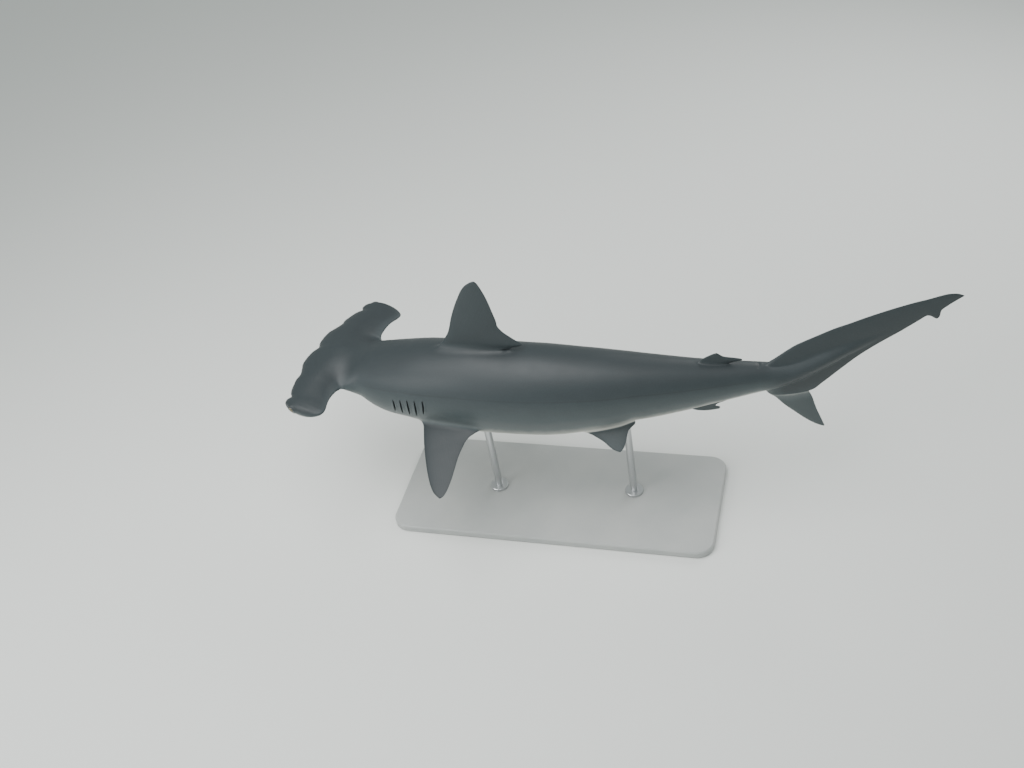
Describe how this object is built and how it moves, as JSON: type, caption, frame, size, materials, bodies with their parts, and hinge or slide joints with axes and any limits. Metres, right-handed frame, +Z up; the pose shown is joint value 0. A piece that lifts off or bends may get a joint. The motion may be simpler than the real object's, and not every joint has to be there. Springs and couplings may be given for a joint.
{
  "type": "scalloped hammerhead shark",
  "caption": "Life-size scalloped hammerhead shark, swimming in a gentle curve with its wide hammer-shaped head level, held over a flat board by rods.",
  "frame": {"origin": "centre of the underside of the stand's board, on the floor, below the middle of the shark", "axes": "+X from the head towards the tail along the stand, -Y towards the shark's left side, +Z up"},
  "size_m": [2.169, 0.7761, 0.9619],
  "materials": {
    "skin": "fine rough shark skin with a dull wet sheen, grey above and off-white below",
    "eye": "clear wet eye with a dark pupil",
    "stand_board": "satin light grey lacquer over board",
    "stand_steel": "brushed"
  },
  "bodies": {
    "root": {"head": "skin", "front_body": "skin", "mid_body": "skin", "tail_stock": "skin", "first_dorsal_fin": "skin", "second_dorsal_fin": "skin", "pectoral_fin_left": "skin", "pectoral_fin_right": "skin", "pelvic_fin_left": "skin", "pelvic_fin_right": "skin", "anal_fin": "skin", "caudal_fin_upper": "skin", "caudal_fin_lower": "skin", "eye_left": "eye", "eye_right": "eye", "stand_base": "stand_board", "stand_rod_front": "stand_steel", "stand_rod_rear": "stand_steel"}
  },
  "joints": []
}
